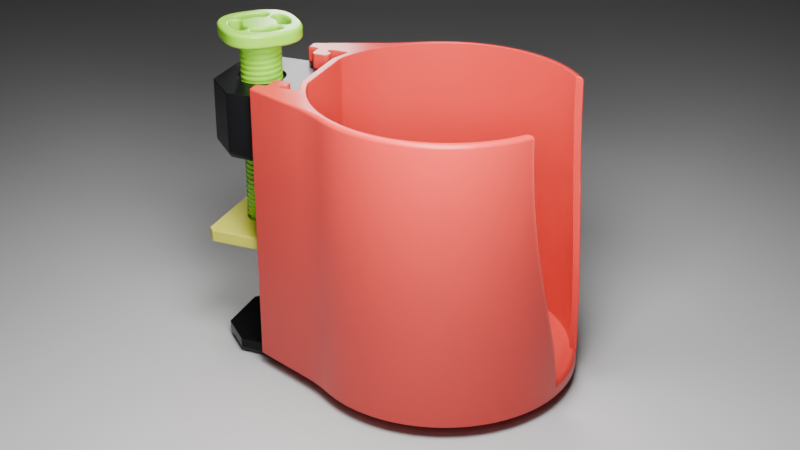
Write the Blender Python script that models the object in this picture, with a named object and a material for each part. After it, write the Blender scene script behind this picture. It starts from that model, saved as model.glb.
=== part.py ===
"""Desk clamp cup holder: a slotted cup whose hooked wings slide onto a screw clamp.

Frame: metres, +Z up, +Y from the cup towards the desk, +X across. The origin lies on the lower jaw's
desk face, straight under the axis of the clamp screw.
"""

import math

import bmesh
import bpy
from mathutils import Matrix, Vector

MM = 0.001

# ---- driving dimensions -------------------------------------------------------------------------
FIT_GAP = 0.3 * MM                 # clearance between printed pieces that touch

# Cup. Its own plan is measured from its axis, and its heights from its underside.
CUP_INNER_RADIUS = 45.0 * MM
CUP_WALL = 2.4 * MM
CUP_OUTER_RADIUS = CUP_INNER_RADIUS + CUP_WALL
CUP_HEIGHT = 100.0 * MM
CUP_FLOOR = 5.0 * MM
CUP_REAR_FLAT = 45.8 * MM          # outer flat that lies against the clamp's spine
CUP_INNER_FLAT = 43.2 * MM
RIM_ROUNDING = 1.4 * MM
SLOT_FOOT_HALF_WIDTH = 12.25 * MM
SLOT_TOP_HALF_WIDTH = 26.7 * MM
SLOT_FOOT_HANDLE = 18.0 * MM       # how long the slot's edge stays upright at its foot
SLOT_TOP_HANDLE = 50.0 * MM        # and at its top

# Wings and hooks, in the cup's plan.
WING_INNER_X = 19.8 * MM
WING_END_Y = 58.8 * MM
WING_END_X = 24.2 * MM
WING_SHOULDER = (35.2 * MM, 33.0 * MM)
WING_BLEND_RADIUS = 60.0 * MM
HOOK_NECK_X = 17.6 * MM
HOOK_TIP_X = 13.8 * MM
HOOK_NECK_FRONT_Y = 50.2 * MM
HOOK_LIP_FRONT_Y = 48.4 * MM
HOOK_BACK_Y = 54.65 * MM
HOOK_ROUNDING = 1.6 * MM
CORNER_ROUNDING = 0.8 * MM

# Clamp frame.
CUP_TO_SCREW = 66.8 * MM           # from the cup's axis to the screw's axis
CUP_BASE_Z = -1.0 * MM             # the cup's underside, above the bottom of the hook grooves
FRAME_HALF_WIDTH = 19.5 * MM
SPINE_FRONT_Y = CUP_REAR_FLAT + FIT_GAP - CUP_TO_SCREW
SPINE_BACK_Y = 56.6 * MM - CUP_TO_SCREW
JAW_THICKNESS = 6.0 * MM
JAW_TIP_Y = 12.5 * MM
JAW_CORNER_CUT = 9.8 * MM
JAW_ROUNDING = 3.0 * MM
BLOCK_BOTTOM_Z = 70.0 * MM
BLOCK_TOP_Z = 94.0 * MM
BLOCK_BACK_Y = 13.9 * MM
BLOCK_CORNER_CUT = 10.5 * MM
BLOCK_ROUNDING = 2.7 * MM

# Screw, with the hand wheel at its top and the snap-in end at its bottom.
THREAD_CREST_RADIUS = 7.2 * MM
THREAD_ROOT_RADIUS = 6.75 * MM
THREAD_PITCH = 1.9 * MM
THREAD_PHASE_Z = 1.39 * MM         # a root starts at this height, give or take whole pitches, at +X
THREAD_CLEARANCE = 0.35 * MM
RIDGE = ((0.0, 0.0), (0.25, 0.0), (0.45, 1.0), (0.75, 1.0))  # share of the pitch, share of the depth
THREAD_BOTTOM_Z = 42.2 * MM
HOLE_CHAMFER = 1.0 * MM
WHEEL_BOTTOM_Z = 108.0 * MM
WHEEL_THICKNESS = 5.0 * MM
WHEEL_MEAN_RADIUS = 14.35 * MM
WHEEL_LOBE = 0.65 * MM
WHEEL_ROUNDING = 1.0 * MM
WINDOW_INNER_RADIUS = 6.2 * MM
WINDOW_OUTER_RADIUS = 10.4 * MM
WINDOW_HALF_ANGLE = math.radians(36.0)
WINDOW_ROUNDING = 1.7 * MM
NECK_RADIUS = 6.4 * MM
BEAD_RADIUS = 7.1 * MM
BEAD_CHAMFER = 0.5 * MM
BEAD_HEIGHT = 1.1 * MM             # up to where the bead tapers
BEAD_TAPER = 0.7 * MM

# Pressure pad.
PAD_BOTTOM_Z = 37.2 * MM
PAD_THICKNESS = 4.4 * MM
PAD_HALF_WIDTH = 19.5 * MM
PAD_FRONT_Y = SPINE_BACK_Y + 0.5 * MM
PAD_BACK_Y = BLOCK_BACK_Y
PAD_CORNER_CUT = 2.0 * MM
SOCKET_FLOOR = 1.0 * MM
SOCKET_RADIUS = 7.5 * MM
SOCKET_LIP_RADIUS = 6.8 * MM
SOCKET_MOUTH_RADIUS = 7.6 * MM
SOCKET_LIP_DEPTH = 0.7 * MM        # from the pad's top face down to the lip
SOCKET_LIP_HEIGHT = 0.2 * MM
SOCKET_UNDERCUT = 0.7 * MM         # from the lip down to the full socket width

# Plastics, as linear colours.
CORAL = (0.60, 0.085, 0.065)
BLACK = (0.006, 0.006, 0.007)
GREEN = (0.30, 0.62, 0.045)
YELLOW = (0.72, 0.68, 0.20)

# Facets.
CIRCLE_STEPS = 96
THREAD_STEPS = 20
TURNED_STEPS = 40
WHEEL_STEPS = 64
SLOT_STEPS = 16
BLEND_STEPS = 5
CORNER_STEPS = 3
WINDOW_OUTER_STEPS = 8
WINDOW_INNER_STEPS = 6
SHARP_ANGLE = math.radians(35.0)
OVERCUT = 1.0 * MM                 # how far a cutter runs past the face it cuts
MOUTH_OVERCUT = 0.1 * MM
TINY = 1e-6                        # closer than this, two places are the same


# ---- outlines -----------------------------------------------------------------------------------
def arc(centre, radius, start, end, steps):
    """Points along an arc, both ends included."""
    angles = [start + (end - start) * step / steps for step in range(steps + 1)]
    return [(centre[0] + radius * math.cos(a), centre[1] + radius * math.sin(a)) for a in angles]


def rounded_corners(corners, steps=CORNER_STEPS):
    """An open chain of points, with each (x, y, rounding) corner replaced by an arc where rounding > 0."""
    points = []
    for index, (x, y, rounding) in enumerate(corners):
        if rounding == 0.0 or index in (0, len(corners) - 1):
            points.append((x, y))
            continue
        corner = Vector((x, y))
        before = (Vector(corners[index - 1][:2]) - corner).normalized()
        after = (Vector(corners[index + 1][:2]) - corner).normalized()
        half_angle = before.angle(after) / 2.0
        centre = corner + (before + after).normalized() * rounding / math.sin(half_angle)
        first = corner + before * rounding / math.tan(half_angle) - centre
        last = corner + after * rounding / math.tan(half_angle) - centre
        start = math.atan2(first.y, first.x)
        sweep = (math.atan2(last.y, last.x) - start + math.pi) % math.tau - math.pi
        points.extend(arc(centre, rounding, start, start + sweep, steps))
    return points


def circle_height(radius, x):
    """The y of a circle about the origin at a given x."""
    return math.sqrt(radius * radius - x * x)


def mirrored(half):
    """A closed outline from its right half, which runs from the rear centre line to the front one."""
    left = [(-x, y) for x, y in reversed(half) if x > TINY]
    return half + left


def blend_centre():
    """Centre of the concave arc that joins the wing's straight flank to the round cup."""
    end = Vector((WING_END_X, WING_END_Y))
    flank = (Vector(WING_SHOULDER) - end).normalized()
    outward = Vector((-flank.y, flank.x))
    start = end + outward * WING_BLEND_RADIUS
    reach = CUP_OUTER_RADIUS + WING_BLEND_RADIUS
    backtrack = start.dot(flank)
    along = -backtrack - math.sqrt(backtrack ** 2 - start.length_squared + reach ** 2)
    return start + flank * along, outward


def cup_outline():
    """Plan of the cup with its wings and hooks, about the cup's axis."""
    step = math.tau / CIRCLE_STEPS
    flat_x = circle_height(CUP_OUTER_RADIUS, CUP_REAR_FLAT)
    corners = [
        (flat_x, CUP_REAR_FLAT, 0.0),
        (WING_INNER_X, circle_height(CUP_OUTER_RADIUS, WING_INNER_X), CORNER_ROUNDING),
        (WING_INNER_X, HOOK_NECK_FRONT_Y, CORNER_ROUNDING / 2.0),
        (HOOK_NECK_X, HOOK_NECK_FRONT_Y, CORNER_ROUNDING / 2.0),
        (HOOK_NECK_X, HOOK_LIP_FRONT_Y, CORNER_ROUNDING),
        (HOOK_TIP_X, HOOK_LIP_FRONT_Y, HOOK_ROUNDING),
        (HOOK_TIP_X, HOOK_BACK_Y, HOOK_ROUNDING),
        (WING_INNER_X, HOOK_BACK_Y, CORNER_ROUNDING / 2.0),
        (WING_INNER_X, WING_END_Y, CORNER_ROUNDING),
        (WING_END_X, WING_END_Y, CORNER_ROUNDING),
        (WING_SHOULDER[0], WING_SHOULDER[1], 0.0),
    ]
    half = rounded_corners(corners)[:-1]
    centre, outward = blend_centre()
    flank_touch = math.atan2(-outward.y, -outward.x)
    cup_touch = math.atan2(-centre.y, -centre.x)
    half.extend(arc(centre, WING_BLEND_RADIUS, flank_touch, cup_touch, BLEND_STEPS))
    round_start = math.atan2(centre.y, centre.x)
    round_steps = round((round_start + math.pi / 2.0) / step)
    half.extend(arc((0.0, 0.0), CUP_OUTER_RADIUS, round_start, -math.pi / 2.0, round_steps)[1:-1])
    half.append((0.0, -CUP_OUTER_RADIUS))
    return mirrored(half)


def cavity_outline():
    """Plan of the cup's inside: a circle with a flat at the rear."""
    flat_x = circle_height(CUP_INNER_RADIUS, CUP_INNER_FLAT)
    start = math.atan2(CUP_INNER_FLAT, flat_x)
    steps = round((start + math.pi / 2.0) / (math.tau / CIRCLE_STEPS))
    half = arc((0.0, 0.0), CUP_INNER_RADIUS, start, -math.pi / 2.0, steps)
    return mirrored(half[:-1] + [(0.0, -CUP_INNER_RADIUS)])


def slot_outline():
    """Front view of the handle slot, as (x, z): each edge is one Bezier curve, upright at both ends."""
    foot_z = CUP_BASE_Z + CUP_FLOOR
    top_z = CUP_BASE_Z + CUP_HEIGHT
    edge = []
    for index in range(SLOT_STEPS + 1):
        t = index / SLOT_STEPS
        s = 1.0 - t
        share = 3.0 * s * t * t + t ** 3
        x = SLOT_FOOT_HALF_WIDTH * (1.0 - share) + SLOT_TOP_HALF_WIDTH * share
        z = (foot_z * s ** 3 + 3.0 * (foot_z + SLOT_FOOT_HANDLE) * s * s * t
             + 3.0 * (top_z - SLOT_TOP_HANDLE) * s * t * t + top_z * t ** 3)
        edge.append((x, z))
    edge.append((SLOT_TOP_HALF_WIDTH, top_z + OVERCUT))
    return edge + [(-x, z) for x, z in reversed(edge)]


def wheel_outline():
    """Plan of the hand wheel: a circle with four shallow lobes on the axes."""
    points = []
    for index in range(WHEEL_STEPS):
        angle = math.tau * index / WHEEL_STEPS
        radius = WHEEL_MEAN_RADIUS + WHEEL_LOBE * math.cos(4.0 * angle)
        points.append((radius * math.cos(angle), radius * math.sin(angle)))
    return points


# ---- meshes -------------------------------------------------------------------------------------
def prism(outline, low, high, plane="XY"):
    """A bmesh of an outline extruded from low to high along the plane's normal."""
    frames = {
        "XY": Matrix.Identity(3),
        "XZ": Matrix(((1, 0, 0), (0, 0, 1), (0, 1, 0))),
        "YZ": Matrix(((0, 0, 1), (1, 0, 0), (0, 1, 0))),
    }
    turn = frames[plane]
    bm = bmesh.new()
    verts = [bm.verts.new(turn @ Vector((a, b, low))) for a, b in outline]
    face = bm.faces.new(verts)
    grown = bmesh.ops.extrude_face_region(bm, geom=[face])
    moved = [item for item in grown["geom"] if isinstance(item, bmesh.types.BMVert)]
    bmesh.ops.translate(bm, verts=moved, vec=turn @ Vector((0.0, 0.0, high - low)))
    bmesh.ops.recalc_face_normals(bm, faces=bm.faces)
    return bm


def turned(profile, steps=TURNED_STEPS):
    """A bmesh turned about Z from (radius, z) points that start and end on the axis."""
    bm = bmesh.new()
    verts = [bm.verts.new((radius, 0.0, z)) for radius, z in profile]
    edges = [bm.edges.new(pair) for pair in zip(verts, verts[1:])]
    bmesh.ops.spin(bm, geom=verts + edges, cent=(0, 0, 0), axis=(0, 0, 1), angle=math.tau,
                   steps=steps, use_merge=True, use_duplicate=False)
    bmesh.ops.remove_doubles(bm, verts=bm.verts, dist=TINY)
    bmesh.ops.recalc_face_normals(bm, faces=bm.faces)
    return bm


def helix_body(root, crest, low, high):
    """A right-hand threaded bar from below low to above high, closed by a fan at each raw end."""
    shape = [(root + (crest - root) * height, share) for share, height in RIDGE]
    start = THREAD_PHASE_Z + THREAD_PITCH * (math.floor((low - THREAD_PHASE_Z) / THREAD_PITCH) - 1)
    turns = math.ceil((high - start) / THREAD_PITCH) + 1
    rows = []
    for turn in range(turns):
        for radius, share in shape:
            rows.append((radius, start + (turn + share) * THREAD_PITCH))
    bm = bmesh.new()
    grid = []
    for radius, z in rows:
        ring = []
        for step in range(THREAD_STEPS):
            angle = math.tau * step / THREAD_STEPS
            rise = THREAD_PITCH * step / THREAD_STEPS
            ring.append(bm.verts.new((radius * math.cos(angle), radius * math.sin(angle), z + rise)))
        grid.append(ring)
    per_turn = len(shape)
    for row in range(len(rows) - 1):
        for step in range(THREAD_STEPS - 1):
            bm.faces.new((grid[row][step], grid[row][step + 1],
                          grid[row + 1][step + 1], grid[row + 1][step]))
    for row in range(len(rows) - 1 - per_turn):
        bm.faces.new((grid[row][-1], grid[row + per_turn][0],
                      grid[row + per_turn + 1][0], grid[row + 1][-1]))
    foot = bm.verts.new((0.0, 0.0, start - THREAD_PITCH))
    foot_loop = grid[0] + [grid[row][0] for row in range(per_turn, -1, -1)]
    for first, second in zip(foot_loop, foot_loop[1:]):
        bm.faces.new((second, first, foot))
    last = len(rows) - 1
    head = bm.verts.new((0.0, 0.0, grid[last][-1].co.z + THREAD_PITCH))
    seam = [grid[row][-1] for row in range(last - 1, last - per_turn - 1, -1)]
    head_loop = grid[last] + seam
    for first, second in zip(head_loop, head_loop[1:] + head_loop[:1]):
        bm.faces.new((first, second, head))
    bmesh.ops.recalc_face_normals(bm, faces=bm.faces)
    return bm


def bevel_edges(bm, chosen, size, segments=1):
    """Bevel the edges that pass a test on their two ends."""
    edges = [edge for edge in bm.edges if chosen(edge.verts[0].co, edge.verts[1].co)]
    bmesh.ops.bevel(bm, geom=edges, offset=size, offset_type="OFFSET", segments=segments,
                    profile=0.5, affect="EDGES", clamp_overlap=True, material=-1)
    bmesh.ops.recalc_face_normals(bm, faces=bm.faces)


# ---- objects ------------------------------------------------------------------------------------
def clear_scene():
    """Remove whatever the file already holds."""
    for item in list(bpy.data.objects):
        bpy.data.objects.remove(item, do_unlink=True)


def finish(name, colour, roughness):
    """A Principled material for one printed plastic."""
    material = bpy.data.materials.new(name)
    material.use_nodes = True
    shader = material.node_tree.nodes["Principled BSDF"]
    shader.inputs["Base Color"].default_value = (*colour, 1.0)
    shader.inputs["Roughness"].default_value = roughness
    shader.inputs["Metallic"].default_value = 0.0
    return material


def add_object(name, bm, material=None, origin=(0.0, 0.0, 0.0)):
    """Make an object from a bmesh in world coordinates, with its origin where it moves about."""
    bmesh.ops.translate(bm, verts=bm.verts, vec=-Vector(origin))
    mesh = bpy.data.meshes.new(name)
    bm.to_mesh(mesh)
    bm.free()
    mesh.shade_smooth()
    mesh.set_sharp_from_angle(angle=SHARP_ANGLE)
    item = bpy.data.objects.new(name, mesh)
    item.location = origin
    bpy.context.collection.objects.link(item)
    if material is not None:
        mesh.materials.append(material)
    return item


def add_cutter(name, bm):
    """A helper solid that only serves a Boolean."""
    cutter = add_object(name, bm)
    cutter.hide_render = True
    cutter.display_type = "WIRE"
    return cutter


def combine(target, operation, helper):
    """Add a Boolean modifier that joins, cuts or trims a piece with a helper solid."""
    boolean = target.modifiers.new(f"{operation.lower()} {helper.name}", "BOOLEAN")
    boolean.operation = operation
    boolean.solver = "EXACT"
    boolean.object = helper


def shifted(bm, y):
    """Move a bmesh that was drawn about its own axis along Y."""
    bmesh.ops.translate(bm, verts=bm.verts, vec=(0.0, y, 0.0))
    return bm


# ---- pieces -------------------------------------------------------------------------------------
def build_cup():
    """The cup with its handle slot, wings and hooks."""
    top_z = CUP_BASE_Z + CUP_HEIGHT
    shell = prism(cup_outline(), CUP_BASE_Z, top_z)

    def on_round_rim(a, b):
        """Whether an edge is on the top of the round wall, clear of the wings' ends."""
        at_top = min(a.z, b.z) > top_z - TINY
        return at_top and max(a.y, b.y) < WING_SHOULDER[1] - CORNER_ROUNDING

    bevel_edges(shell, on_round_rim, RIM_ROUNDING, segments=CORNER_STEPS)
    cup = add_object("cup_holder", shifted(shell, -CUP_TO_SCREW), finish("coral_plastic", CORAL, 0.35),
                     (0.0, SPINE_FRONT_Y, CUP_BASE_Z))
    cavity = prism(cavity_outline(), CUP_BASE_Z + CUP_FLOOR, top_z + OVERCUT)
    combine(cup, "DIFFERENCE", add_cutter("cup_cavity", shifted(cavity, -CUP_TO_SCREW)))
    slot = prism(slot_outline(), -CUP_OUTER_RADIUS - OVERCUT, -CUP_INNER_RADIUS / 2.0, "XZ")
    combine(cup, "DIFFERENCE", add_cutter("handle_slot", shifted(slot, -CUP_TO_SCREW)))


def hook_groove(side):
    """Plan of one hook groove: a pocket for the hook's head behind a lip, open to the side for its neck."""
    pocket_in = HOOK_TIP_X - FIT_GAP
    pocket_out = HOOK_NECK_X + FIT_GAP
    front = HOOK_LIP_FRONT_Y - FIT_GAP - CUP_TO_SCREW
    neck = HOOK_NECK_FRONT_Y - FIT_GAP - CUP_TO_SCREW
    back = HOOK_BACK_Y + FIT_GAP - CUP_TO_SCREW
    outside = FRAME_HALF_WIDTH + OVERCUT
    corners = [(pocket_in, front), (pocket_out, front), (pocket_out, neck),
               (outside, neck), (outside, back), (pocket_in, back)]
    return [(side * x, y) for x, y in corners]


def build_frame():
    """The C-shaped frame: upper block, spine and lower jaw, with its two grooves and its threaded hole."""
    profile = [
        (SPINE_FRONT_Y, -JAW_THICKNESS),
        (JAW_TIP_Y, -JAW_THICKNESS),
        (JAW_TIP_Y, 0.0),
        (SPINE_BACK_Y, 0.0),
        (SPINE_BACK_Y, BLOCK_BOTTOM_Z),
        (BLOCK_BACK_Y, BLOCK_BOTTOM_Z),
        (BLOCK_BACK_Y, BLOCK_TOP_Z),
        (SPINE_FRONT_Y, BLOCK_TOP_Z),
    ]
    body = prism(profile, -FRAME_HALF_WIDTH, FRAME_HALF_WIDTH, "YZ")

    def upright_at(y):
        """A test for the upright edges at one depth."""
        return lambda a, b: abs(a.y - y) < TINY and abs(b.y - y) < TINY and abs(a.x - b.x) < TINY

    bevel_edges(body, upright_at(BLOCK_BACK_Y), BLOCK_CORNER_CUT)
    bevel_edges(body, upright_at(JAW_TIP_Y), JAW_CORNER_CUT)

    def underside_edge(z):
        """A test for the edges round an underside, without its joint to the spine and its front."""
        def test(a, b):
            """Whether the edge between two points is one of them."""
            level = abs(a.z - z) < TINY and abs(b.z - z) < TINY
            inside = abs(a.y - SPINE_BACK_Y) < TINY and abs(b.y - SPINE_BACK_Y) < TINY
            front = abs(a.y - SPINE_FRONT_Y) < TINY and abs(b.y - SPINE_FRONT_Y) < TINY
            return level and not inside and not front
        return test

    bevel_edges(body, underside_edge(BLOCK_BOTTOM_Z), BLOCK_ROUNDING, segments=2)
    bevel_edges(body, underside_edge(-JAW_THICKNESS), JAW_ROUNDING, segments=2)
    frame = add_object("clamp_frame", body, finish("black_plastic", BLACK, 0.3))
    for side, label in ((-1.0, "left"), (1.0, "right")):
        groove = prism(hook_groove(side), CUP_BASE_Z - FIT_GAP, BLOCK_TOP_Z + OVERCUT)
        combine(frame, "DIFFERENCE", add_cutter(f"{label}_groove", groove))
    thread = helix_body(THREAD_ROOT_RADIUS + THREAD_CLEARANCE, THREAD_CREST_RADIUS + THREAD_CLEARANCE,
                        BLOCK_BOTTOM_Z - THREAD_PITCH, BLOCK_TOP_Z + THREAD_PITCH)
    combine(frame, "DIFFERENCE", add_cutter("thread_cut", thread))
    crest = THREAD_CREST_RADIUS + THREAD_CLEARANCE
    mouth_bottom = BLOCK_TOP_Z - HOLE_CHAMFER
    mouth_top = BLOCK_TOP_Z + OVERCUT / 2.0
    mouth = turned([
        (0.0, mouth_bottom),
        (crest - OVERCUT / 2.0, mouth_bottom),
        (crest + HOLE_CHAMFER, mouth_top),
        (0.0, mouth_top),
    ])
    combine(frame, "DIFFERENCE", add_cutter("hole_mouth", mouth))


def wheel_window(middle):
    """Plan of one arched window between two spokes, about the direction given."""
    low = middle - WINDOW_HALF_ANGLE
    high = middle + WINDOW_HALF_ANGLE
    trim = WINDOW_ROUNDING / WINDOW_OUTER_RADIUS
    points = arc((0.0, 0.0), WINDOW_OUTER_RADIUS, low + trim, high - trim, WINDOW_OUTER_STEPS)
    centre_radius = WINDOW_OUTER_RADIUS - WINDOW_ROUNDING
    inner_centre_radius = WINDOW_INNER_RADIUS + WINDOW_ROUNDING
    quarter = math.pi / 2.0
    for angle, turn in ((high - trim, 1.0), (low + trim, -1.0)):
        outer = (centre_radius * math.cos(angle), centre_radius * math.sin(angle))
        inner = (inner_centre_radius * math.cos(angle), inner_centre_radius * math.sin(angle))
        if turn > 0.0:
            points.extend(arc(outer, WINDOW_ROUNDING, angle, angle + quarter, CORNER_STEPS)[1:])
            points.extend(arc(inner, WINDOW_ROUNDING, angle + quarter, angle + math.pi,
                              CORNER_STEPS))
            points.extend(arc((0.0, 0.0), WINDOW_INNER_RADIUS, high - trim, low + trim,
                              WINDOW_INNER_STEPS)[1:-1])
        else:
            points.extend(arc(inner, WINDOW_ROUNDING, angle - math.pi, angle - quarter, CORNER_STEPS))
            points.extend(arc(outer, WINDOW_ROUNDING, angle - quarter, angle, CORNER_STEPS)[:-1])
    return points


def build_screw():
    """The clamp screw: hand wheel, right-hand thread and the bead that snaps into the pad."""
    wheel_top = WHEEL_BOTTOM_Z + WHEEL_THICKNESS
    wheel = prism(wheel_outline(), WHEEL_BOTTOM_Z, wheel_top)

    def rim_edge(a, b):
        """Whether an edge lies level, on the wheel's top or bottom outline."""
        return abs(a.z - b.z) < TINY

    bevel_edges(wheel, rim_edge, WHEEL_ROUNDING, segments=2)
    screw = add_object("clamp_screw", wheel, finish("green_plastic", GREEN, 0.35),
                       (0.0, 0.0, WHEEL_BOTTOM_Z))
    embed = WHEEL_THICKNESS / 2.0
    thread = add_cutter("thread_bar", helix_body(THREAD_ROOT_RADIUS, THREAD_CREST_RADIUS,
                                                 THREAD_BOTTOM_Z, WHEEL_BOTTOM_Z + embed))
    lead_in = THREAD_CREST_RADIUS - THREAD_ROOT_RADIUS
    envelope = turned([
        (0.0, THREAD_BOTTOM_Z),
        (THREAD_ROOT_RADIUS, THREAD_BOTTOM_Z),
        (THREAD_CREST_RADIUS + lead_in, THREAD_BOTTOM_Z + 2.0 * lead_in),
        (THREAD_CREST_RADIUS + lead_in, WHEEL_BOTTOM_Z + embed),
        (0.0, WHEEL_BOTTOM_Z + embed),
    ])
    combine(thread, "INTERSECT", add_cutter("thread_ends", envelope))
    combine(screw, "UNION", thread)
    bead_bottom = PAD_BOTTOM_Z + SOCKET_FLOOR + FIT_GAP
    neck_top = THREAD_BOTTOM_Z + THREAD_PITCH / 2.0
    pin = turned([
        (0.0, bead_bottom),
        (BEAD_RADIUS - BEAD_CHAMFER, bead_bottom),
        (BEAD_RADIUS, bead_bottom + BEAD_CHAMFER),
        (BEAD_RADIUS, bead_bottom + BEAD_HEIGHT),
        (NECK_RADIUS, bead_bottom + BEAD_HEIGHT + BEAD_TAPER),
        (NECK_RADIUS, neck_top),
        (0.0, neck_top),
    ])
    combine(screw, "UNION", add_cutter("snap_end", pin))
    for quarter in range(4):
        window = prism(wheel_window(math.pi / 4.0 + quarter * math.pi / 2.0),
                       WHEEL_BOTTOM_Z - FIT_GAP, wheel_top + OVERCUT)
        combine(screw, "DIFFERENCE", add_cutter(f"wheel_window_{quarter + 1}", window))


def build_pad():
    """The pressure pad, with the socket that the screw's end snaps into."""
    top_z = PAD_BOTTOM_Z + PAD_THICKNESS
    cut = PAD_CORNER_CUT
    half = [
        (PAD_HALF_WIDTH - cut, PAD_BACK_Y),
        (PAD_HALF_WIDTH, PAD_BACK_Y - cut),
        (PAD_HALF_WIDTH, PAD_FRONT_Y + cut),
        (PAD_HALF_WIDTH - cut, PAD_FRONT_Y),
    ]
    pad = add_object("pressure_pad", prism(mirrored(half), PAD_BOTTOM_Z, top_z),
                     finish("yellow_plastic", YELLOW, 0.45), (0.0, 0.0, PAD_BOTTOM_Z))
    floor_z = PAD_BOTTOM_Z + SOCKET_FLOOR
    lip_top = top_z - SOCKET_LIP_DEPTH
    lip_bottom = lip_top - SOCKET_LIP_HEIGHT
    socket = turned([
        (0.0, floor_z),
        (SOCKET_RADIUS, floor_z),
        (SOCKET_RADIUS, lip_bottom - SOCKET_UNDERCUT),
        (SOCKET_LIP_RADIUS, lip_bottom),
        (SOCKET_LIP_RADIUS, lip_top),
        (SOCKET_MOUTH_RADIUS, top_z + MOUTH_OVERCUT),
        (0.0, top_z + MOUTH_OVERCUT),
    ])
    combine(pad, "DIFFERENCE", add_cutter("pad_socket", socket))


def main():
    """Build the four pieces."""
    clear_scene()
    build_frame()
    build_cup()
    build_pad()
    build_screw()


main()
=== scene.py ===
"""Looks of the desk clamp cup holder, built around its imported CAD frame.

The frame is in metres with +Z up along the clamp screw, +Y from the cup towards the desk and +X
across. Four printed pieces replace the four CAD solids: the cup, the clamp body, the screw with its
hand wheel, and the pressure pad.
"""

import logging
import math
from dataclasses import dataclass
from enum import Enum

import bmesh
import bpy
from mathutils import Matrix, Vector


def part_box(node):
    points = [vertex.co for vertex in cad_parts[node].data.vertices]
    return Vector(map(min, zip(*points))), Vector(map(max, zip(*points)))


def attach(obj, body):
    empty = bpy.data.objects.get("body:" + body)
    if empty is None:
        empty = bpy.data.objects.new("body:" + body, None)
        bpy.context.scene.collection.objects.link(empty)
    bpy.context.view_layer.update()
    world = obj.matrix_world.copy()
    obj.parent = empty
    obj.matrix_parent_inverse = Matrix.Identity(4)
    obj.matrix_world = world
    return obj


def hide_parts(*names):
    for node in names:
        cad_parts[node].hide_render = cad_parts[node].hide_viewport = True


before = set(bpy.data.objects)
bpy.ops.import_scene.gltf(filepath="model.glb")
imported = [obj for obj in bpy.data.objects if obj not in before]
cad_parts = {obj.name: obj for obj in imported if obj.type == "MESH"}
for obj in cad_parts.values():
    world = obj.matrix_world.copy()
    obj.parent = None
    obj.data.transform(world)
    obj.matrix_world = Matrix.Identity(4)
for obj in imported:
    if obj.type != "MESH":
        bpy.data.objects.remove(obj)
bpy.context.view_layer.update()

LOG = logging.getLogger("cup_holder")
MM = 0.001
MERGE = 1e-6
TINY = 1e-9

Colour = tuple[float, float, float]
Point2 = tuple[float, float]


# ---- names --------------------------------------------------------------------------------------
class Body(Enum):
    """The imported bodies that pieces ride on."""

    CLAMP = "clamp"
    CUP = "cup"
    PAD = "pad"
    SCREW = "screw"


class Node(Enum):
    """The CAD solids that pieces stand for."""

    CUP = "cup_holder"
    FRAME = "clamp_frame"
    SCREW = "clamp_screw"
    PAD = "pressure_pad"


@dataclass(frozen=True)
class PlasticFinish:
    """One printed plastic: its colours and how its surface breaks up the light.

    Attributes:
        name: Name of the material.
        slot: The record's material slot; not used.
        colour: Linear colour of the body of the plastic.
        tint: Linear colour of its broad, slightly deeper patches.
        painted_highlight: Linear colour of the painted highlight along sharp edges, lighter than the
            body.
        roughness: Middle roughness.
        spread: How far the roughness wanders either side of the middle.
        shine: Specular level, where 0.5 is a plain dielectric.
        grain: Height of the fine moulding grain, in metres.
        streak: Height of the faint upright draw lines, in metres.
    """

    name: str
    slot: str
    colour: Colour
    tint: Colour
    painted_highlight: Colour
    roughness: float
    spread: float
    shine: float
    grain: float
    streak: float


class Plastic(Enum):
    """The four plastics of the holder."""

    # The third colour of each plastic is lighter than its body. It is a painted highlight for the
    # sharp edges.
    CORAL = PlasticFinish("coral_print", "coral_plastic", (0.66, 0.040, 0.034), (0.59, 0.033, 0.028),
                          (0.76, 0.10, 0.085), 0.36, 0.05, 0.5, 0.010 * MM, 0.045 * MM)
    BLACK = PlasticFinish("black_print", "black_plastic", (0.006, 0.006, 0.007), (0.004, 0.004, 0.005),
                          (0.010, 0.010, 0.011), 0.30, 0.05, 0.16, 0.008 * MM, 0.0)
    GREEN = PlasticFinish("green_print", "green_plastic", (0.27, 0.64, 0.022), (0.24, 0.58, 0.018),
                          (0.34, 0.72, 0.05), 0.34, 0.05, 0.5, 0.008 * MM, 0.0)
    YELLOW = PlasticFinish("yellow_print", "yellow_plastic", (0.61, 0.59, 0.065), (0.55, 0.53, 0.050),
                           (0.72, 0.70, 0.18), 0.45, 0.06, 0.5, 0.010 * MM, 0.0)


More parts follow.
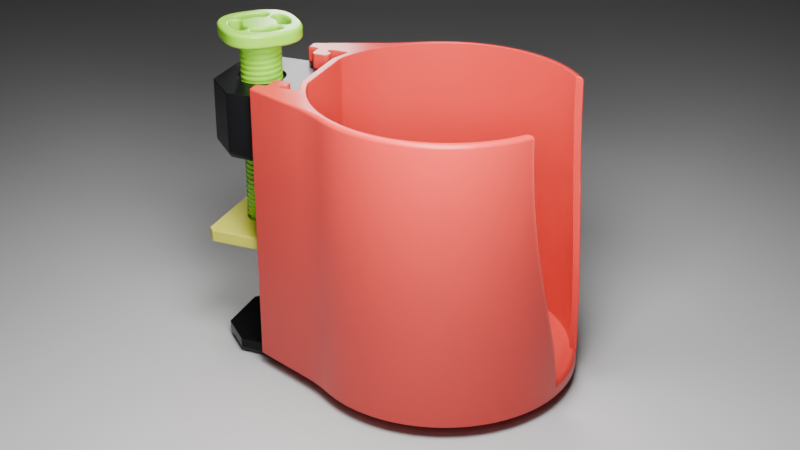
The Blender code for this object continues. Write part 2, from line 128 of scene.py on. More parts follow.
# ---- materials ----------------------------------------------------------------------------------
def moulded_plastic(finish: PlasticFinish) -> bpy.types.Material:
    """Make a smooth printed plastic with broad tone patches, a painted highlight on sharp edges and a
    fine grain.

    Args:
        finish: The colours and surface amounts.

    Returns:
        The material.
    """
    material = bpy.data.materials.new(finish.name)
    material.use_nodes = True
    tree = material.node_tree
    nodes = tree.nodes
    links = tree.links
    nodes.clear()

    output = nodes.new("ShaderNodeOutputMaterial")
    output.label = "finished plastic"
    output.location = (1100, 100)
    shader = nodes.new("ShaderNodeBsdfPrincipled")
    shader.label = "plastic"
    shader.location = (800, 100)
    shader.inputs["Metallic"].default_value = 0.0
    shader.inputs["IOR"].default_value = 1.47
    shader.inputs["Specular IOR Level"].default_value = finish.shine

    place = nodes.new("ShaderNodeTexCoord")
    place.label = "place on the piece"
    place.location = (-1100, 0)

    colour_group = nodes.new("NodeFrame")
    colour_group.label = "tone of the plastic"
    patches = nodes.new("ShaderNodeTexNoise")
    patches.label = "broad patches of tone"
    patches.location = (-700, 420)
    patches.parent = colour_group
    patches.inputs["Scale"].default_value = 28.0
    patches.inputs["Detail"].default_value = 3.0
    patches.inputs["Roughness"].default_value = 0.5
    tone = nodes.new("ShaderNodeMix")
    tone.label = "body colour to deeper tone"
    tone.location = (-400, 420)
    tone.parent = colour_group
    tone.data_type = "RGBA"
    tone.inputs["A"].default_value = (*finish.colour, 1.0)
    tone.inputs["B"].default_value = (*finish.tint, 1.0)

    # Painted highlight: edges picked out by pointiness get a lighter colour, which stands in for light
    # catching them.
    edge_group = nodes.new("NodeFrame")
    edge_group.label = "painted highlight on sharp edges"
    shape = nodes.new("ShaderNodeNewGeometry")
    shape.label = "where the form is edged"
    shape.location = (-700, 140)
    shape.parent = edge_group
    edge = nodes.new("ShaderNodeMapRange")
    edge.label = "sharp edges only"
    edge.location = (-400, 140)
    edge.parent = edge_group
    edge.inputs["From Min"].default_value = 0.53
    edge.inputs["From Max"].default_value = 0.62
    edge.inputs["To Max"].default_value = 0.5
    # Mixes the painted highlight colour in along the sharp edges.
    painted_highlight_mix = nodes.new("ShaderNodeMix")
    painted_highlight_mix.label = "rubbed colour on the edges"
    painted_highlight_mix.location = (100, 300)
    painted_highlight_mix.parent = edge_group
    painted_highlight_mix.data_type = "RGBA"
    painted_highlight_mix.inputs["B"].default_value = (*finish.painted_highlight, 1.0)

    gloss_group = nodes.new("NodeFrame")
    gloss_group.label = "uneven gloss"
    smears = nodes.new("ShaderNodeTexNoise")
    smears.label = "smears and dull spots"
    smears.location = (-700, -140)
    smears.parent = gloss_group
    smears.inputs["Scale"].default_value = 90.0
    smears.inputs["Detail"].default_value = 4.0
    gloss = nodes.new("ShaderNodeMapRange")
    gloss.label = "roughness range"
    gloss.location = (-400, -140)
    gloss.parent = gloss_group
    gloss.inputs["To Min"].default_value = finish.roughness - finish.spread
    gloss.inputs["To Max"].default_value = finish.roughness + finish.spread

    relief_group = nodes.new("NodeFrame")
    relief_group.label = "grain and draw lines"
    upright = nodes.new("ShaderNodeMapping")
    upright.label = "stretch upright"
    upright.location = (-900, -700)
    upright.parent = relief_group
    upright.inputs["Scale"].default_value = (1.0, 1.0, 0.02)
    lines = nodes.new("ShaderNodeTexNoise")
    lines.label = "upright draw lines"
    lines.location = (-700, -700)
    lines.parent = relief_group
    lines.inputs["Scale"].default_value = 260.0
    lines.inputs["Detail"].default_value = 1.0
    grain = nodes.new("ShaderNodeTexNoise")
    grain.label = "fine moulding grain"
    grain.location = (-700, -420)
    grain.parent = relief_group
    grain.inputs["Scale"].default_value = 1600.0
    grain.inputs["Detail"].default_value = 2.0
    fine = nodes.new("ShaderNodeBump")
    fine.label = "grain relief"
    fine.location = (-100, -420)
    fine.parent = relief_group
    fine.inputs["Distance"].default_value = finish.grain
    drawn = nodes.new("ShaderNodeBump")
    drawn.label = "draw line relief"
    drawn.location = (200, -420)
    drawn.parent = relief_group
    drawn.inputs["Distance"].default_value = finish.streak

    links.new(place.outputs["Object"], patches.inputs["Vector"])
    links.new(place.outputs["Object"], smears.inputs["Vector"])
    links.new(place.outputs["Object"], grain.inputs["Vector"])
    links.new(place.outputs["Object"], upright.inputs["Vector"])
    links.new(upright.outputs["Vector"], lines.inputs["Vector"])
    links.new(patches.outputs["Fac"], tone.inputs["Factor"])
    links.new(shape.outputs["Pointiness"], edge.inputs["Value"])
    links.new(edge.outputs["Result"], painted_highlight_mix.inputs["Factor"])
    links.new(tone.outputs["Result"], painted_highlight_mix.inputs["A"])
    links.new(painted_highlight_mix.outputs["Result"], shader.inputs["Base Color"])
    links.new(smears.outputs["Fac"], gloss.inputs["Value"])
    links.new(gloss.outputs["Result"], shader.inputs["Roughness"])
    links.new(grain.outputs["Fac"], fine.inputs["Height"])
    links.new(lines.outputs["Fac"], drawn.inputs["Height"])
    links.new(fine.outputs["Normal"], drawn.inputs["Normal"])
    links.new(drawn.outputs["Normal"], shader.inputs["Normal"])
    links.new(shader.outputs["BSDF"], output.inputs["Surface"])
    return material


def studio_paper(name: str, colour: Colour) -> bpy.types.Material:
    """Make the matt paper of the studio floor.

    Args:
        name: Name of the material.
        colour: Linear colour of the paper.

    Returns:
        The material.
    """
    material = bpy.data.materials.new(name)
    material.use_nodes = True
    tree = material.node_tree
    nodes = tree.nodes
    links = tree.links
    nodes.clear()
    output = nodes.new("ShaderNodeOutputMaterial")
    output.label = "paper"
    output.location = (600, 0)
    shader = nodes.new("ShaderNodeBsdfPrincipled")
    shader.label = "matt paper"
    shader.location = (300, 0)
    shader.inputs["Base Color"].default_value = (*colour, 1.0)
    shader.inputs["Specular IOR Level"].default_value = 0.25
    place = nodes.new("ShaderNodeTexCoord")
    place.label = "place on the floor"
    place.location = (-500, 0)
    fibres = nodes.new("ShaderNodeTexNoise")
    fibres.label = "paper fibres"
    fibres.location = (-300, 0)
    fibres.inputs["Scale"].default_value = 300.0
    dull = nodes.new("ShaderNodeMapRange")
    dull.label = "roughness range"
    dull.location = (0, 0)
    dull.inputs["To Min"].default_value = 0.55
    dull.inputs["To Max"].default_value = 0.65
    links.new(place.outputs["Object"], fibres.inputs["Vector"])
    links.new(fibres.outputs["Fac"], dull.inputs["Value"])
    links.new(dull.outputs["Result"], shader.inputs["Roughness"])
    links.new(shader.outputs["BSDF"], output.inputs["Surface"])
    return material


# ---- outlines -----------------------------------------------------------------------------------
def arc(centre: Point2, radius: float, start: float, end: float, steps: int) -> list[Point2]:
    """Lay points along an arc, both ends included.

    Args:
        centre: Centre of the arc.
        radius: Radius.
        start: First angle, in radians.
        end: Last angle, in radians.
        steps: Number of steps.

    Returns:
        The points, one more than the steps.
    """
    angles = [start + (end - start) * step / steps for step in range(steps + 1)]
    return [(centre[0] + radius * math.cos(a), centre[1] + radius * math.sin(a)) for a in angles]


def rounded_corners(corners: list[tuple[float, float, float]], steps: int) -> list[Point2]:
    """Replace the inner corners of an open chain by arcs.

    Args:
        corners: Each corner's x, y and rounding radius; a radius of 0 keeps the corner.
        steps: Steps of each arc.

    Returns:
        The points of the chain.
    """
    points = []
    for index, (x, y, rounding) in enumerate(corners):
        if rounding == 0.0 or index in (0, len(corners) - 1):
            points.append((x, y))
            continue
        corner = Vector((x, y))
        before = (Vector(corners[index - 1][:2]) - corner).normalized()
        after = (Vector(corners[index + 1][:2]) - corner).normalized()
        half_angle = before.angle(after) / 2.0
        centre = corner + (before + after).normalized() * rounding / math.sin(half_angle)
        first = corner + before * rounding / math.tan(half_angle) - centre
        last = corner + after * rounding / math.tan(half_angle) - centre
        start = math.atan2(first.y, first.x)
        sweep = (math.atan2(last.y, last.x) - start + math.pi) % math.tau - math.pi
        points.extend(arc(centre, rounding, start, start + sweep, steps))
    return points


def inset(points: list[Point2], amounts: list[float], closed: bool) -> list[Point2]:
    """Move each point of a counter-clockwise chain to its left, which is inwards.

    Args:
        points: The chain.
        amounts: How far each point moves.
        closed: Whether the last point joins the first.

    Returns:
        The moved points.
    """
    moved = []
    count = len(points)
    for index, (x, y) in enumerate(points):
        before = points[index - 1] if closed or index > 0 else points[0]
        after = points[(index + 1) % count] if closed or index < count - 1 else points[-1]
        come = Vector((x - before[0], y - before[1]))
        leave = Vector((after[0] - x, after[1] - y))
        come = come.normalized() if come.length > TINY else leave.normalized()
        leave = leave.normalized() if leave.length > TINY else come
        along = (come + leave).normalized()
        stretch = 1.0 / max(0.5, along.dot(leave))
        reach = amounts[index] * stretch
        moved.append((x - along.y * reach, y + along.x * reach))
    return moved


def rounding_inset(radius: float, below_top: float) -> float:
    """How far a rounded edge has drawn in, at a depth below the face it rounds into."""
    rise = max(0.0, radius - below_top)
    return radius - math.sqrt(max(0.0, radius * radius - rise * rise))


# ---- meshes -------------------------------------------------------------------------------------
def start_section(bm: bmesh.types.BMesh, points: list[Point2], z: float) -> bmesh.types.BMFace:
    """Start a solid from a level outline whose points are numbered in the station layer.

    Args:
        bm: The mesh to add to.
        points: The outline, counter-clockwise from above.
        z: Height.

    Returns:
        The face of the outline.
    """
    layer = bm.verts.layers.int.get("station") or bm.verts.layers.int.new("station")
    verts = []
    for index, (x, y) in enumerate(points):
        vert = bm.verts.new((x, y, z))
        vert[layer] = index
        verts.append(vert)
    return bm.faces.new(verts)


def raise_section(bm: bmesh.types.BMesh, face: bmesh.types.BMFace, points: list[Point2],
                  z: float) -> bmesh.types.BMFace:
    """Extrude a level section and put its points where the next level has them.

    Args:
        bm: The mesh.
        face: The section to raise.
        points: Where each numbered station stands at the new level.
        z: Height of the new level.

    Returns:
        The raised face.
    """
    layer = bm.verts.layers.int.get("station")
    grown = bmesh.ops.extrude_face_region(bm, geom=[face])
    top = face
    for item in grown["geom"]:
        if isinstance(item, bmesh.types.BMVert):
            x, y = points[item[layer]]
            item.co = (x, y, z)
        elif isinstance(item, bmesh.types.BMFace):
            top = item
    if all(len(edge.link_faces) > 2 for edge in face.edges):
        bm.faces.remove(face)
    return top


def cushioned_prism(outline: list[Point2], low: float, high: float, rounding: float,
                    steps: int = 5) -> bmesh.types.BMesh:
    """Raise an outline between two heights, with its top and bottom edges rounded.

    A negative rounding flares the ends instead, which makes a cutter that leaves rounded edges.

    Args:
        outline: The outline, counter-clockwise from above.
        low: Lower height.
        high: Upper height.
        rounding: Radius of the edges.
        steps: Steps of each rounding.

    Returns:
        The solid.
    """
    size = abs(rounding)
    sign = math.copysign(1.0, rounding)
    rises = [size * (1.0 - math.cos(math.pi / 2.0 * step / steps)) for step in range(steps + 1)]
    levels = [low + rise for rise in rises] + [high - rise for rise in reversed(rises)]
    bm = bmesh.new()
    face = None
    for z in levels:
        depth = min(z - low, high - z)
        amounts = [sign * rounding_inset(size, depth)] * len(outline)
        points = inset(outline, amounts, closed=True)
        face = raise_section(bm, face, points, z) if face else start_section(bm, points, z)
    bmesh.ops.recalc_face_normals(bm, faces=bm.faces)
    return bm


def turned(profile: list[Point2], steps: int = 96) -> bmesh.types.BMesh:
    """Turn a profile about Z.

    Args:
        profile: Radius and height of each point, starting and ending on the axis.
        steps: Steps of the turn.

    Returns:
        The solid.
    """
    bm = bmesh.new()
    verts = [bm.verts.new((radius, 0.0, z)) for radius, z in profile]
    edges = [bm.edges.new(pair) for pair in zip(verts, verts[1:])]
    bmesh.ops.spin(bm, geom=verts + edges, cent=(0, 0, 0), axis=(0, 0, 1), angle=math.tau,
                   steps=steps, use_merge=True, use_duplicate=False)
    bmesh.ops.remove_doubles(bm, verts=bm.verts, dist=MERGE)
    bmesh.ops.recalc_face_normals(bm, faces=bm.faces)
    return bm


def bevel_edges(bm: bmesh.types.BMesh, edges: list[bmesh.types.BMEdge], size: float,
                segments: int) -> None:
    """Bevel the edges given.

    Args:
        bm: The mesh.
        edges: The edges.
        size: Width of the bevel.
        segments: Its segments.
    """
    bmesh.ops.bevel(bm, geom=edges, offset=size, offset_type="OFFSET", segments=segments,
                    profile=0.5, affect="EDGES", clamp_overlap=True, material=-1)
    bmesh.ops.recalc_face_normals(bm, faces=bm.faces)


def mesh_object(name: str, bm: bmesh.types.BMesh) -> bpy.types.Object:
    """Make an object at the origin from a bmesh, which is freed.

    Args:
        name: Name of the object.
        bm: Its mesh.

    Returns:
        The object, linked into the scene.
    """
    mesh = bpy.data.meshes.new(name)
    bm.to_mesh(mesh)
    bm.free()
    piece = bpy.data.objects.new(name, mesh)
    bpy.context.scene.collection.objects.link(piece)
    return piece


def carve(piece: bpy.types.Object, operation: str, helper_mesh: bmesh.types.BMesh) -> None:
    """Join, cut or trim a piece with a helper solid, and keep the result as the piece's mesh.

    Args:
        piece: The piece.
        operation: UNION, DIFFERENCE or INTERSECT.
        helper_mesh: The helper solid, which is used up.
    """
    helper = mesh_object("helper", helper_mesh)
    boolean = piece.modifiers.new("carve", "BOOLEAN")
    boolean.operation = operation
    boolean.solver = "EXACT"
    boolean.object = helper
    graph = bpy.context.evaluated_depsgraph_get()
    result = bpy.data.meshes.new_from_object(piece.evaluated_get(graph))
    piece.modifiers.clear()
    old = piece.data
    piece.data = result
    bpy.data.meshes.remove(old)
    helper_data = helper.data
    bpy.data.objects.remove(helper, do_unlink=True)
    bpy.data.meshes.remove(helper_data)


def smooth_finish(piece: bpy.types.Object, sharp_angle: float = 40.0) -> None:
    """Shade a piece smooth with crisp flats: sharp edges by angle, normals weighted by area.

    Args:
        piece: The piece.
        sharp_angle: Edges that turn by more than this, in degrees, stay sharp.
    """
    piece.data.shade_smooth()
    piece.data.set_sharp_from_angle(angle=math.radians(sharp_angle))
    weighted = piece.modifiers.new("flat faces stay flat", "WEIGHTED_NORMAL")
    weighted.keep_sharp = True
    weighted.weight = 80


def dress(piece: bpy.types.Object, finish: Plastic, body: Body, node: Node) -> None:
    """Give a piece its plastic, its body and the CAD solid it stands for.

    Args:
        piece: The piece.
        finish: Its plastic.
        body: The body it rides on.
        node: The CAD solid it replaces.
    """
    smooth_finish(piece)
    piece.data.materials.clear()
    piece.data.materials.append(moulded_plastic(finish.value))
    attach(piece, body.value)
    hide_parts(node.value)
    LOG.info("%s: %d faces, rides on %s", piece.name, len(piece.data.polygons), body.value)


# ---- cup ----------------------------------------------------------------------------------------
@dataclass
class Cup:
    """The round cup with its handle slot, and the two hooked wings that slide onto the clamp."""

    outer_radius: float = 47.4 * MM
    inner_radius: float = 45.0 * MM
    rear_flat: float = 45.8 * MM
    inner_flat: float = 43.2 * MM
    floor: float = 5.0 * MM
    slot_foot: float = 12.25 * MM
    slot_top: float = 26.7 * MM
    slot_foot_handle: float = 18.0 * MM
    slot_top_handle: float = 50.0 * MM
    rim_rounding: float = 1.4 * MM
    wing_rounding: float = 0.75 * MM
    fine_rounding: float = 0.3 * MM
    slot_rounding: float = 0.3 * MM
    foot_rounding: float = 0.5 * MM
    lip_rounding: float = 2.0 * MM
    wing_inner_x: float = 19.8 * MM
    wing_end: Point2 = (24.2 * MM, 58.8 * MM)
    wing_shoulder: Point2 = (35.2 * MM, 33.0 * MM)
    blend_radius: float = 60.0 * MM
    hook_neck_x: float = 17.6 * MM
    hook_tip_x: float = 13.8 * MM
    hook_neck_y: float = 50.2 * MM
    hook_lip_y: float = 48.4 * MM
    hook_back_y: float = 54.65 * MM
    hook_rounding: float = 1.6 * MM
    corner_rounding: float = 0.8 * MM
    cap_reach: float = 5.0 * MM
    least_rounding: float = 0.001 * MM
    round_gap: float = 0.4 * MM
    inner_corner_share: float = 0.7
    inset_share: float = 0.999
    merge_distance: float = 3.0 * MERGE
    corner_growth: float = 5.0 * MM
    wall_foot: float = 0.6 * MM
    wall_levels: int = 34
    wall_crowding: float = 1.15
    search_steps: int = 40
    round_steps: int = 64
    blend_steps: int = 14
    inner_steps: int = 64
    front_steps: int = 16
    corner_steps: int = 4
    edge_steps: int = 6

    def slot_half_width(self, height: float, total: float) -> float:
        """Half the width of the handle slot at a height above the cup's underside.

        Args:
            height: Height above the underside.
            total: Height of the cup.

        Returns:
            The half width, from one Bezier curve that is upright at both ends.
        """
        low, high = 0.0, 1.0
        for _ in range(self.search_steps):
            t = (low + high) / 2.0
            s = 1.0 - t
            z = (self.floor * s ** 3 + 3.0 * (self.floor + self.slot_foot_handle) * s * s * t
                 + 3.0 * (total - self.slot_top_handle) * s * t * t + total * t ** 3)
            low, high = (t, high) if z < height else (low, t)
        share = 3.0 * (1.0 - low) * low * low + low ** 3
        return self.slot_foot + (self.slot_top - self.slot_foot) * share

    def blend(self) -> tuple[Vector, Vector]:
        """Find the concave arc that joins the wing's straight flank to the round cup.

        Returns:
            The arc's centre, and the direction that points out of the flank.
        """
        end = Vector(self.wing_end)
        flank = (Vector(self.wing_shoulder) - end).normalized()
        outward = Vector((-flank.y, flank.x))
        start = end + outward * self.blend_radius
        reach = self.outer_radius + self.blend_radius
        back = start.dot(flank)
        along = -back - math.sqrt(back ** 2 - start.length_squared + reach ** 2)
        return start + flank * along, outward

    def wing(self) -> list[tuple[Point2, float]]:
        """Trace the right wing from the round cup to the middle of the rear flat.

        Returns:
            Each point with its rounding at the top edge.
        """
        centre, outward = self.blend()
        cup_touch = math.atan2(-centre.y, -centre.x)
        flank_touch = math.atan2(-outward.y, -outward.x)
        chain = []
        curve = arc(centre, self.blend_radius, cup_touch, flank_touch, self.blend_steps)
        for index, point in enumerate(curve):
            share = index / self.blend_steps
            rounding = self.rim_rounding + (self.wing_rounding - self.rim_rounding) * share
            chain.append((point, rounding))
        flat_x = math.sqrt(self.outer_radius ** 2 - self.rear_flat ** 2)
        root_y = math.sqrt(self.outer_radius ** 2 - self.wing_inner_x ** 2)
        small = self.corner_rounding / 2.0
        large = self.corner_rounding
        corners = [
            (*curve[-1], 0.0),
            (*self.wing_end, large),
            (self.wing_inner_x, self.wing_end[1], large),
            (self.wing_inner_x, self.hook_back_y, small),
            (self.hook_tip_x, self.hook_back_y, self.hook_rounding),
            (self.hook_tip_x, self.hook_lip_y, self.hook_rounding),
            (self.hook_neck_x, self.hook_lip_y, large),
            (self.hook_neck_x, self.hook_neck_y, small),
            (self.wing_inner_x, self.hook_neck_y, small),
            (self.wing_inner_x, root_y, large),
            (flat_x, self.rear_flat, 0.0),
        ]
        tail = rounded_corners(corners, self.corner_steps)[1:]
        for index, point in enumerate(tail):
            rounding = self.wing_rounding if index <= 2 * self.corner_steps + 1 else self.fine_rounding
            chain.append((point, rounding))
        return chain

    def stations(self, height: float, total: float) -> tuple[list[Point2], dict[str, range]]:
        """Lay out every numbered point of the plan at one height, about the cup's axis.

        Args:
            height: Height above the cup's underside.
            total: Height of the cup.

        Returns:
            The points, and the ranges of their numbers by region.
        """
        top_gap = total - height
        rim = rounding_inset(self.rim_rounding, top_gap)
        side = rounding_inset(self.slot_rounding, top_gap)
        fine = rounding_inset(self.fine_rounding, top_gap)
        foot = rounding_inset(self.foot_rounding, height)
        outer = self.outer_radius - rim - foot
        inner = self.inner_radius + fine
        half = self.slot_half_width(max(height, self.floor), total) + side
        grown = min(1.0, max(0.0, (height - self.floor) / self.corner_growth))
        corner = (self.slot_rounding - side) * grown
        points: list[Point2] = []
        regions = {}

        # Right slot edge, then the right side.
        slot_angle = math.asin(half / outer)
        edge = (half, -math.sqrt(outer ** 2 - half ** 2))
        inner_edge_y = -math.sqrt(inner ** 2 - half ** 2)
        tangent = (edge[0] + math.cos(slot_angle) * self.cap_reach,
                   edge[1] + math.sin(slot_angle) * self.cap_reach)
        cap = (half, edge[1] + self.cap_reach)
        rounding = max(corner, self.least_rounding)
        right_corner = rounded_corners([(*cap, 0.0), (*edge, rounding), (*tangent, 0.0)],
                                       self.corner_steps)[1:-1]
        wing_chain = self.wing()
        drop = [min(self.inset_share * amount, rounding_inset(amount, top_gap)) + foot
                for _, amount in wing_chain]
        centre, _ = self.blend()
        round_end = math.atan2(centre.y, centre.x) + math.pi / 2.0
        first = slot_angle + max(corner, self.round_gap) / outer
        right_round = []
        for index in range(self.round_steps):
            angle = first + (round_end - first) * index / self.round_steps - math.pi / 2.0
            right_round.append((outer * math.cos(angle), outer * math.sin(angle)))
        right_wing = inset([point for point, _ in wing_chain], drop, closed=False)
        right_wing[0] = (outer * math.sin(round_end), -outer * math.cos(round_end))
        right_wing[-1] = (right_wing[-1][0], self.rear_flat - drop[-1])
        right = right_corner + right_round + right_wing
        left = [(-x, y) for x, y in reversed(right)]
        points.extend(right + left)
        regions["outside"] = range(0, len(points))

        # Lip of the floor across the slot, which stays below the floor's top.
        lip = rounding_inset(self.lip_rounding, max(0.0, self.floor - height))
        front_radius = self.outer_radius - foot - lip
        front_angle = math.asin(self.slot_foot / front_radius)
        front = arc((0.0, 0.0), front_radius, -math.pi / 2.0 - front_angle,
                    -math.pi / 2.0 + front_angle, self.front_steps)
        if height > self.floor:
            middle = (edge[1] + inner_edge_y) / 2.0
            front = [(-half, middle)] + front[1:-1] + [(half, middle)]
        start = len(points)
        points.extend(front)
        regions["front"] = range(start, len(points))

        # Inside, from the left slot edge round the rear to the right one.
        inner_angle = math.asin(half / inner)
        inner_edge = (half, inner_edge_y)
        inner_tangent = (half + math.cos(inner_angle) * self.cap_reach,
                         inner_edge_y + math.sin(inner_angle) * self.cap_reach)
        inner_cap = (half, inner_edge_y - self.cap_reach)
        inner_rounding = max(corner * self.inner_corner_share, self.least_rounding)
        inner_corner = rounded_corners([(*inner_tangent, 0.0), (*inner_edge, inner_rounding),
                                        (*inner_cap, 0.0)], self.corner_steps)[1:-1]
        flat = self.inner_flat + fine
        flat_x = math.sqrt(inner ** 2 - flat ** 2)
        flat_angle = math.atan2(flat, flat_x) + math.pi / 2.0
        inner_first = inner_angle + max(corner, self.round_gap) / inner
        inner_round = []
        for index in range(self.inner_steps + 1):
            angle = flat_angle + (inner_first - flat_angle) * index / self.inner_steps - math.pi / 2.0
            inner_round.append((inner * math.cos(angle), inner * math.sin(angle)))
        right_inside = inner_round + inner_corner
        left_inside = [(-x, y) for x, y in reversed(right_inside)]
        start = len(points)
        points.extend(left_inside + right_inside)
        regions["inside"] = range(start, len(points))
        return points, regions

    def build(self) -> bpy.types.Object:
        """Build the cup and dress it.

        Returns:
            The piece.
        """
        low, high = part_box(Node.CUP.value)
        base_z = low.z
        total = high.z - low.z
        axis_y = low.y + self.outer_radius
        quarter = [math.pi / 2.0 * step / self.edge_steps for step in range(self.edge_steps + 1)]
        foot_levels = [self.foot_rounding * (1.0 - math.cos(angle)) for angle in quarter]
        lip_levels = [self.floor - self.lip_rounding * (1.0 - math.sin(angle)) for angle in quarter]
        wall_start = self.floor + self.wall_foot
        wall_end = total - self.rim_rounding
        count = self.wall_levels
        wall_levels = [wall_start + (wall_end - wall_start) * (step / count) ** self.wall_crowding
                       for step in range(count)]
        rim_levels = [total - self.rim_rounding * (1.0 - math.sin(angle)) for angle in quarter]

        bm = bmesh.new()
        points, regions = self.stations(0.0, total)
        slab = [points[index] for index in (*regions["outside"], *regions["front"])]
        face = start_section(bm, slab, base_z)
        for height in foot_levels[1:] + lip_levels:
            points, _ = self.stations(height, total)
            face = raise_section(bm, face, points, base_z + height)

        # The slab's top splits into the floor and the C-shaped foot of the wall.
        layer = bm.verts.layers.int.get("station")
        ring = {vert[layer]: vert for vert in face.verts}
        bm.faces.remove(face)
        for index in regions["inside"]:
            vert = bm.verts.new((*points[index], base_z + self.floor))
            vert[layer] = index
            ring[index] = vert
        front = list(regions["front"])
        outside = list(regions["outside"])
        inside = list(regions["inside"])
        wall = outside + [front[0]] + inside + [front[-1]]
        bm.faces.new([ring[index] for index in inside + list(reversed(front))])
        section = bm.faces.new([ring[index] for index in wall])
        for height in wall_levels + rim_levels:
            points, _ = self.stations(height, total)
            section = raise_section(bm, section, points, base_z + height)
        bmesh.ops.remove_doubles(bm, verts=bm.verts, dist=self.merge_distance)
        bmesh.ops.dissolve_degenerate(bm, edges=bm.edges, dist=MERGE)
        bmesh.ops.translate(bm, verts=bm.verts, vec=(0.0, axis_y, 0.0))
        bmesh.ops.recalc_face_normals(bm, faces=bm.faces)
        cup = mesh_object("cup_body", bm)
        dress(cup, Plastic.CORAL, Body.CUP, Node.CUP)
        return cup


# ---- clamp body ---------------------------------------------------------------------------------
@dataclass
class ClampBody:
    """The C-shaped clamp body: upper block, spine and lower jaw, grooves and threaded hole."""

    jaw_thickness: float = 6.0 * MM
    jaw_tip_y: float = 12.5 * MM
    jaw_corner_cut: float = 9.8 * MM
    jaw_rounding: float = 3.0 * MM
    spine_back_y: float = -10.2 * MM
    block_bottom_z: float = 70.0 * MM
    block_corner_cut: float = 10.5 * MM
    block_rounding: float = 2.7 * MM
    edge_rounding: float = 0.35 * MM
    fillet_segments: int = 8
    edge_segments: int = 3
    groove_inner_x: float = 13.5 * MM
    groove_outer_x: float = 17.9 * MM
    groove_mouth_x: float = 21.0 * MM
    groove_front_y: float = -18.7 * MM
    groove_neck_y: float = -16.9 * MM
    groove_back_y: float = -11.85 * MM
    groove_floor_z: float = -1.3 * MM
    flat_angle: float = math.radians(1.0)
    corner_angle: float = math.radians(24.0)
    overcut: float = 1.0 * MM
    mouth_radius: float = 8.5 * MM
    mouth_depth: float = 1.1 * MM

    def profile(self, front_y: float, back_y: float, top_z: float) -> list[tuple[float, float]]:
        """Side view of the body, as (y, z).

        Args:
            front_y: The spine's front face.
            back_y: The block's far face.
            top_z: The block's top.

        Returns:
            The corners.
        """
        return [
            (front_y, -self.jaw_thickness),
            (self.jaw_tip_y, -self.jaw_thickness),
            (self.jaw_tip_y, 0.0),
            (self.spine_back_y, 0.0),
            (self.spine_back_y, self.block_bottom_z),
            (back_y, self.block_bottom_z),
            (back_y, top_z),
            (front_y, top_z),
        ]

    def groove(self, side: float, low: float, high: float) -> bmesh.types.BMesh:
        """Make the cutter of one hook groove.

        Args:
            side: 1 for the right groove, -1 for the left one.
            low: Its lower height.
            high: Its upper height.

        Returns:
            The cutter.
        """
        corners = [
            (self.groove_inner_x, self.groove_front_y),
            (self.groove_outer_x, self.groove_front_y),
            (self.groove_outer_x, self.groove_neck_y),
            (self.groove_mouth_x, self.groove_neck_y),
            (self.groove_mouth_x, self.groove_back_y),
            (self.groove_inner_x, self.groove_back_y),
        ]
        points = [(side * x, y) for x, y in corners]
        if side < 0.0:
            points.reverse()
        bm = bmesh.new()
        face = start_section(bm, points, low)
        raise_section(bm, face, points, high)
        bmesh.ops.recalc_face_normals(bm, faces=bm.faces)
        return bm

    def build(self, thread: "Thread") -> bpy.types.Object:
        """Build the clamp body and dress it.

        Args:
            thread: The screw thread, whose hole the block has.

        Returns:
            The piece.
        """
        low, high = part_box(Node.FRAME.value)
        bm = bmesh.new()
        profile = self.profile(low.y, high.y, high.z)
        face = bm.faces.new([bm.verts.new((low.x, y, z)) for y, z in profile])
        grown = bmesh.ops.extrude_face_region(bm, geom=[face])
        moved = [item for item in grown["geom"] if isinstance(item, bmesh.types.BMVert)]
        bmesh.ops.translate(bm, verts=moved, vec=(high.x - low.x, 0.0, 0.0))
        bmesh.ops.recalc_face_normals(bm, faces=bm.faces)

        def upright_at(y: float) -> list[bmesh.types.BMEdge]:
            """Find the upright edges at one depth.

            Args:
                y: The depth.

            Returns:
                The edges.
            """
            return [edge for edge in bm.edges
                    if all(abs(v.co.y - y) < MERGE for v in edge.verts)
                    and abs(edge.verts[0].co.x - edge.verts[1].co.x) < MERGE]

        def underside_at(z: float) -> list[bmesh.types.BMEdge]:
            """Find the level edges at one height that are not on the spine's two faces.

            Args:
                z: The height.

            Returns:
                The edges.
            """
            found = []
            for edge in bm.edges:
                level = all(abs(v.co.z - z) < MERGE for v in edge.verts)
                on_spine = any(all(abs(v.co.y - y) < MERGE for v in edge.verts)
                               for y in (self.spine_back_y, low.y))
                if level and not on_spine:
                    found.append(edge)
            return found

        bevel_edges(bm, upright_at(high.y), self.block_corner_cut, 1)
        bevel_edges(bm, upright_at(self.jaw_tip_y), self.jaw_corner_cut, 1)
        bevel_edges(bm, underside_at(self.block_bottom_z), self.block_rounding, self.fillet_segments)
        bevel_edges(bm, underside_at(-self.jaw_thickness), self.jaw_rounding, self.fillet_segments)
        body = mesh_object("clamp_body", bm)
        for side in (-1.0, 1.0):
            carve(body, "DIFFERENCE", self.groove(side, self.groove_floor_z, high.z + self.overcut))
        bm = bmesh.new()
        bm.from_mesh(body.data)
        bmesh.ops.dissolve_limit(bm, angle_limit=self.flat_angle, verts=bm.verts, edges=bm.edges)
        corners = [edge for edge in bm.edges
                   if edge.is_manifold and edge.calc_face_angle() > self.corner_angle]
        bevel_edges(bm, corners, self.edge_rounding, self.edge_segments)
        bm.to_mesh(body.data)
        bm.free()
        hole = thread.bar(self.block_bottom_z - thread.pitch, high.z + thread.pitch, thread.clearance)
        carve(body, "DIFFERENCE", hole)
        floor_z = high.z - self.mouth_depth
        mouth = turned([
            (0.0, floor_z),
            (self.mouth_radius - self.mouth_depth, floor_z),
            (self.mouth_radius + self.overcut, high.z + self.overcut),
            (0.0, high.z + self.overcut),
        ])
        carve(body, "DIFFERENCE", mouth)
        dress(body, Plastic.BLACK, Body.CLAMP, Node.FRAME)
        return body


